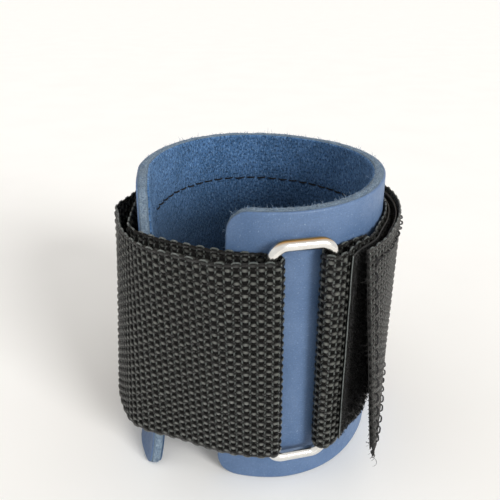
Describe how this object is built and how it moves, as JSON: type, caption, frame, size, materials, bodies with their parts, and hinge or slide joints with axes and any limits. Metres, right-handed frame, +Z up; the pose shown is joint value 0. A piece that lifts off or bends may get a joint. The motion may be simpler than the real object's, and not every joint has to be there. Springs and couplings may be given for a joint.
{
  "type": "wrist cuff",
  "caption": "Leather wrist cuff: a split oval band with a webbing strap sewn round it, drawn through a rectangular ring and folded back onto hook and loop tape.",
  "frame": {"origin": "middle of the wrist opening, on the plane that the leather's lower edge stands on", "axes": "+Z up along the wrist opening, -Y towards the ring and the closure at the front, +X towards the flap's side"},
  "size_m": [0.074, 0.0754, 0.07],
  "materials": {
    "leather": "satin, smooth dyed grain outside and suede inside",
    "webbing": "matt heavy woven webbing",
    "webbing_flap": "matt woven webbing, fine twill face",
    "loop_pile": "matt looped pile",
    "hook_pile": "matt hooks on a woven ground",
    "ring_steel": "polished nickel plate",
    "thread": "matt polyester thread"
  },
  "bodies": {
    "cuff": {"leather_cuff": "leather", "inner_strap": "webbing", "left_fold": "webbing", "outer_strap": "webbing", "ring_tab": "webbing", "loop_tape": "loop_pile", "cuff_stitches_top": "thread", "cuff_stitches_bottom": "thread", "loop_tape_stitches": "thread"},
    "free_wing": {"leather_wing": "leather"},
    "ring": {"rectangular_ring": "ring_steel"},
    "flap": {"flap_side": "webbing_flap", "hook_tape_side": "hook_pile", "hook_stitches_side": "thread"},
    "flap_end": {"flap_tip": "webbing_flap", "hook_tape_tip": "hook_pile", "hook_stitches_tip": "thread"}
  },
  "joints": [
    {"name": "flap_peel", "type": "hinge", "parent": "cuff", "child": "flap", "pos_m": [0.03323, 0.01184, 0.0367], "axis": [0, 0, 1], "range_deg": [0, 95]},
    {"name": "flap_tip_bend", "type": "hinge", "parent": "flap", "child": "flap_end", "pos_m": [0.03286, -0.01374, 0.0367], "axis": [0, 0, 1], "range_deg": [0, 80]},
    {"name": "wing_flex", "type": "hinge", "parent": "cuff", "child": "free_wing", "pos_m": [-0.02707, -0.00115, 0.035], "axis": [0, 0, 1], "range_deg": [0, 14], "stiffness_Nm_per_rad": 0.03},
    {"name": "ring_swing", "type": "hinge", "parent": "cuff", "child": "ring", "pos_m": [0.01475, -0.03311, 0.0367], "axis": [0, 0, 1], "range_deg": [-1, 1]}
  ]
}
